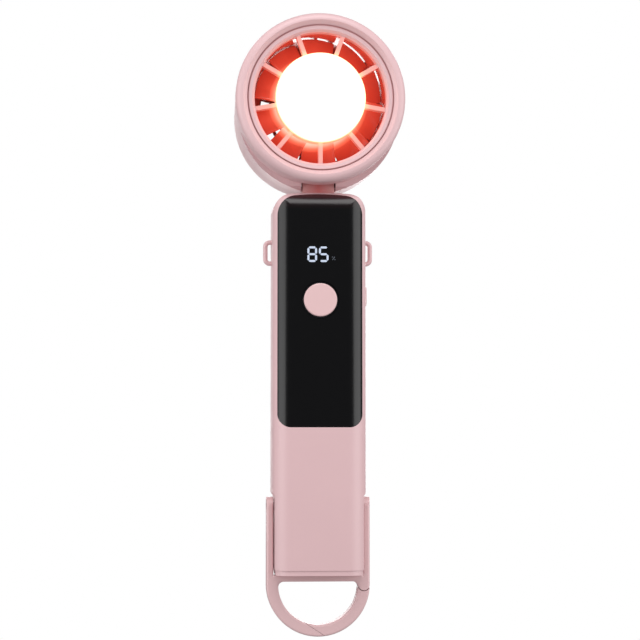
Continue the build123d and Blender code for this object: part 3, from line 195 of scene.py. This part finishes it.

# ---- Neck and tilt hinge --------------------------------------------------
# The neck is screwed under the handle's top and stands up into the head's chin on
# a steel pin. Its middle is painted darker and redder: painted shade and the duct's red light on it.


neck_finish = plastic("neck_pink", PINK, 0.42)
neck_tree = neck_finish.node_tree
NECK_SHADE_REACH = 0.0065
NECK_EDGE = srgb(222, 170, 168)
# Painted shade: the neck darkens to red toward its middle, for shade and the duct's red light on it.
neck_painted_red_shade = along(neck_tree, "X", (
    (-NECK_SHADE_REACH, NECK_EDGE),
    (0.0, srgb(214, 122, 121)),
    (NECK_SHADE_REACH, NECK_EDGE),
))
neck_tree.links.new(neck_painted_red_shade, neck_tree.nodes["tone"].inputs[0])
dress(neck_finish, "pink_shell", "neck")
dress(steel, "steel", "neck_screws", "hinge_pin")
black_plastic = plastic("black_plastic", srgb(32, 32, 34), 0.5)
dress(black_plastic, "black_plastic", "friction_washers")

# ---- Head shell -----------------------------------------------------------
# A pink drum that narrows and drops a little toward the back, with a rolled front
# rim and a chin around the hinge. The grille's ring meets the rim in a fine dark
# parting line.
lens_low, lens_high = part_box("lamp_lens")
HEAD_X = (lens_low[0] + lens_high[0]) / 2
HEAD_Z = (lens_low[2] + lens_high[2]) / 2
LENS_RADIUS = (lens_high[0] - lens_low[0]) / 2
grille_low, grille_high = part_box("front_grille")
GRILLE_RADIUS = (grille_high[0] - grille_low[0]) / 2
RIM_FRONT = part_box("head_shell")[0][1]
RIM_DEPTH = 0.006
BLACK = (0.0, 0.0, 0.0, 1.0)
WHITE = (1.0, 1.0, 1.0, 1.0)


def around_head(tree, stops):
    """A colour that changes with distance from the head's axis, from (metres, colour)."""
    place = tree.nodes.new("ShaderNodeTexCoord")
    centred = tree.nodes.new("ShaderNodeMapping")
    centred.inputs["Location"].default_value = (-HEAD_X, 0, -HEAD_Z)
    tree.links.new(place.outputs["Object"], centred.inputs["Vector"])
    flat = tree.nodes.new("ShaderNodeVectorMath")
    flat.operation = "MULTIPLY"
    flat.inputs[1].default_value = (1, 0, 1)
    tree.links.new(centred.outputs["Vector"], flat.inputs[0])
    radius = tree.nodes.new("ShaderNodeVectorMath")
    radius.operation = "LENGTH"
    tree.links.new(flat.outputs["Vector"], radius.inputs[0])
    reach = tree.nodes.new("ShaderNodeMapRange")
    reach.inputs["From Max"].default_value = stops[-1][0]
    tree.links.new(radius.outputs["Value"], reach.inputs["Value"])
    return ramp(tree, reach.outputs["Result"], [(r / stops[-1][0], c) for r, c in stops])


def ringed(name, roughness, colours, glows=None, strength=0.0, **more):
    """A finish coloured, and where asked lit, in rings about the head's axis."""
    material = plastic(name, PINK, roughness, **more)
    tree = material.node_tree
    tree.links.new(around_head(tree, colours), tree.nodes["tone"].inputs[0])
    if glows:
        surface = tree.nodes["Principled BSDF"]
        tree.links.new(around_head(tree, glows), surface.inputs["Emission Color"])
        surface.inputs["Emission Strength"].default_value = strength
    return material


SEAM = srgb(190, 134, 134)
head_pink = ringed("head_pink", 0.4, (
    (GRILLE_RADIUS - 0.0003, SEAM),
    (GRILLE_RADIUS + 0.0002, SEAM),
    (GRILLE_RADIUS + 0.0006, PINK),
    (GRILLE_RADIUS + 0.008, PINK),
))
head_tree = head_pink.node_tree
head_tone = head_tree.nodes["tone"].inputs[0]
seam_on_rim = head_tree.nodes.new("ShaderNodeMix")
seam_on_rim.data_type = "RGBA"
seam_on_rim.inputs["B"].default_value = PINK
head_tree.links.new(head_tone.links[0].from_socket, seam_on_rim.inputs["A"])
behind_rim = along(head_tree, "Y", (
    (RIM_FRONT, BLACK),
    (RIM_FRONT + RIM_DEPTH, BLACK),
    (RIM_FRONT + RIM_DEPTH + 0.001, WHITE),
))
head_tree.links.new(behind_rim, seam_on_rim.inputs["Factor"])
head_tree.links.new(seam_on_rim.outputs["Result"], head_tone)
dress(head_pink, "pink_shell", "head_shell")

# ---- Front grille ---------------------------------------------------------
# One moulding: an outer ring, nine ribs and the cup that holds the lamp. Painted
# light colours the ribs and cup: a coral reflection of the lit duct, and a glow from the lamp.
blade_low, blade_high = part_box("impeller")
BLADE_TIP = (blade_high[0] - blade_low[0]) / 2
# Painted light: inside the blade tips the grille turns coral and glows, brightest by the lamp.
grille_painted_light = ringed(
    "grille_pink", 0.38,
    (
        (LENS_RADIUS, srgb(250, 186, 160)),
        (LENS_RADIUS + 0.003, srgb(240, 168, 155)),
        (BLADE_TIP + 0.0002, srgb(238, 166, 158)),
        (BLADE_TIP + 0.0007, srgb(222, 184, 186)),
        (GRILLE_RADIUS - 0.0004, PINK),
        (GRILLE_RADIUS - 0.0001, SEAM),
    ),
    (
        (LENS_RADIUS, srgb(255, 190, 140)),
        (LENS_RADIUS + 0.002, srgb(150, 80, 66)),
        (BLADE_TIP + 0.0002, srgb(96, 44, 38)),
        (BLADE_TIP + 0.0007, BLACK),
    ),
    0.6,
)
dress(grille_painted_light, "pink_shell", "front_grille")

# ---- Duct, impeller and motor pod -----------------------------------------
# Glossy coral red plastic; the blades are moulded with their hub. Rings of paler
# colour and a little glow stand in for the lamp's light on the blades.
coral_colours = (
    (LENS_RADIUS - 0.002, srgb(236, 150, 128)),
    (LENS_RADIUS + 0.001, srgb(226, 104, 82)),
    (LENS_RADIUS + 0.0036, srgb(218, 86, 66)),
    (BLADE_TIP + 0.0009, srgb(212, 84, 66)),
)
coral_glows = (
    (LENS_RADIUS - 0.001, srgb(255, 214, 190)),
    (LENS_RADIUS + 0.0006, srgb(222, 128, 98)),
    (LENS_RADIUS + 0.002, srgb(128, 52, 38)),
    (BLADE_TIP + 0.0009, srgb(80, 26, 20)),
)
coral = ringed("coral_blades", 0.24, coral_colours, coral_glows, 0.8, coat=0.5)
dress(coral, "red_duct", "impeller")
duct_finish = plastic("coral_duct", srgb(226, 116, 104), 0.2, coat=0.6)
dress(duct_finish, "red_duct", "duct", "tail_cap")

# ---- Lamp -----------------------------------------------------------------
# An opal white lens over a ring of LEDs on a round board. It glows an even white
# and turns warm yellow at its rolled rim.
lens_finish = ringed(
    "lamp_opal", 0.35,
    ((LENS_RADIUS - 0.001, srgb(250, 248, 244)), (LENS_RADIUS, srgb(252, 214, 150))),
    (
        (LENS_RADIUS - 0.0016, WHITE),
        (LENS_RADIUS - 0.0009, srgb(255, 240, 216)),
        (LENS_RADIUS - 0.0004, srgb(255, 222, 188)),
        (LENS_RADIUS, srgb(244, 180, 140)),
    ),
    1.1,
)
dress(lens_finish, "lamp_glow", "lamp_lens")
dress(plastic("led_chip", srgb(240, 225, 150), 0.4), "led_chip", "lamp_leds")
board = plastic("board_green", srgb(30, 92, 58), 0.45, mottle=0.1)
dress(board, "circuit_board", "lamp_board")
dress(black_plastic, "black_plastic", "lamp_cover")

# ---- Rear grille ----------------------------------------------------------
# A flat spider web of bars that keeps fingers out of the air inlet. It is coloured
# a deeper red than the duct, a painted shade so that it falls away behind the blades.
# Painted shade: a deep red for the dark inside of the duct behind the blades.
inlet_painted_shade = plastic("inlet_web", srgb(158, 66, 56), 0.45)
dress(inlet_painted_shade, "red_duct", "rear_grille")
dress(steel, "steel", "head_screws")

# ---- Motor ----------------------------------------------------------------
# A small outrunner: a pressed steel cup with its magnet ring turns about a wound
# stator, on two ball bearings pressed into the duct's boss.
dress(steel, "steel", "motor_shaft", "motor_bearings", "rotor_cup", "stator_core")
copper = plastic("copper_wire", srgb(196, 120, 70), 0.35, grain=2500.0, depth=0.00003, metallic=0.8)
dress(copper, "copper_wire", "stator_coils")
dress(plastic("magnet_nickel", srgb(70, 70, 74), 0.35, metallic=0.9), "magnet", "magnet_ring")
dress(board, "circuit_board", "motor_board")

# ---- Boards, switches and charging port -----------------------------------
# Green fibreglass boards behind the panel, at the side key and at the rear port.
# The port's shell is drawn steel.
dress(board, "circuit_board", "main_board", "side_board", "usb_board")
dress(black_plastic, "black_plastic", "display_module", "power_switch", "side_switch")
dress(steel, "steel", "usb_port")

# ---- Battery --------------------------------------------------------------
# One cylindrical cell in a blue shrink wrap, with nickel tabs at its ends, held
# between two black cups.
dress(plastic("cell_wrap", srgb(40, 110, 170), 0.3), "cell_wrap", "battery_cell")
dress(black_plastic, "black_plastic", "battery_cup_lower", "battery_cup_upper")
dress(steel, "steel", "battery_tab_lower", "battery_tab_upper", "cap_screws")

# ---- Camera ---------------------------------------------------------------
# It stands a little to the left of the object's front and just below its middle.
scene = bpy.context.scene
VIEW_AZIMUTH = math.radians(-4.5)
VIEW_ELEVATION = math.radians(-3.0)
VIEW_DISTANCE = 0.8
FRAME_HEIGHT = 0.2422
aim = Vector((0.0009, 0.0, 0.1188))
toward = Vector((
    math.sin(VIEW_AZIMUTH) * math.cos(VIEW_ELEVATION),
    -math.cos(VIEW_AZIMUTH) * math.cos(VIEW_ELEVATION),
    math.sin(VIEW_ELEVATION),
))
camera_data = bpy.data.cameras.new("camera")
camera = bpy.data.objects.new("camera", camera_data)
scene.collection.objects.link(camera)
camera.location = aim + toward * VIEW_DISTANCE
camera.rotation_euler = (-toward).to_track_quat("-Z", "Y").to_euler()
camera_data.angle = 2 * math.atan(FRAME_HEIGHT / 2 / VIEW_DISTANCE)
scene.camera = camera

# ---- Room light and backdrop ----------------------------------------------
# An even grey room lights the object. It shows white behind the object and darker
# in reflections, as in a tent with dark cards.
world = bpy.data.worlds.new("world")
world.use_nodes = True
scene.world = world
sky = world.node_tree
background = sky.nodes["Background"]
path = sky.nodes.new("ShaderNodeLightPath")


def either(factor, when_off, when_on):
    """One colour or another, chosen by a ray's kind."""
    choice = sky.nodes.new("ShaderNodeMix")
    choice.data_type = "RGBA"
    for socket, value in (("A", when_off), ("B", when_on)):
        if isinstance(value, tuple):
            choice.inputs[socket].default_value = value
        else:
            sky.links.new(value, choice.inputs[socket])
    sky.links.new(path.outputs[factor], choice.inputs["Factor"])
    return choice.outputs["Result"]


ROOM = (0.42, 0.42, 0.43, 1.0)
DARK_CARD = (0.14, 0.14, 0.14, 1.0)
lit = either("Is Glossy Ray", ROOM, DARK_CARD)
sky.links.new(either("Is Camera Ray", lit, WHITE), background.inputs["Color"])

# ---- Studio lamps ---------------------------------------------------------
# Two soft boxes at the sides give the panel's long edge highlights. One above the
# front fills the face, and one stands behind for the handle's back.


def lamp(name, place, target, size, power):
    """A square soft box at a place, turned toward a target."""
    data = bpy.data.lights.new(name, "AREA")
    data.size = size
    data.energy = power
    item = bpy.data.objects.new(name, data)
    scene.collection.objects.link(item)
    item.location = Vector(place)
    item.rotation_euler = (Vector(target) - Vector(place)).to_track_quat("-Z", "Y").to_euler()


MIDDLE = (0, 0, 0.12)
UPPER_HANDLE = (0, 0, 0.15)
lamp("left_box", (-0.55, -0.25, 0.15), MIDDLE, 0.5, 2.0)
lamp("right_box", (0.55, -0.25, 0.15), MIDDLE, 0.5, 2.0)
lamp("top_box", (0.0, -0.35, 0.65), UPPER_HANDLE, 0.4, 2.2)
lamp("back_box", (0.1, 0.7, 0.25), MIDDLE, 0.5, 2.4)
scene.view_settings.view_transform = "Standard"
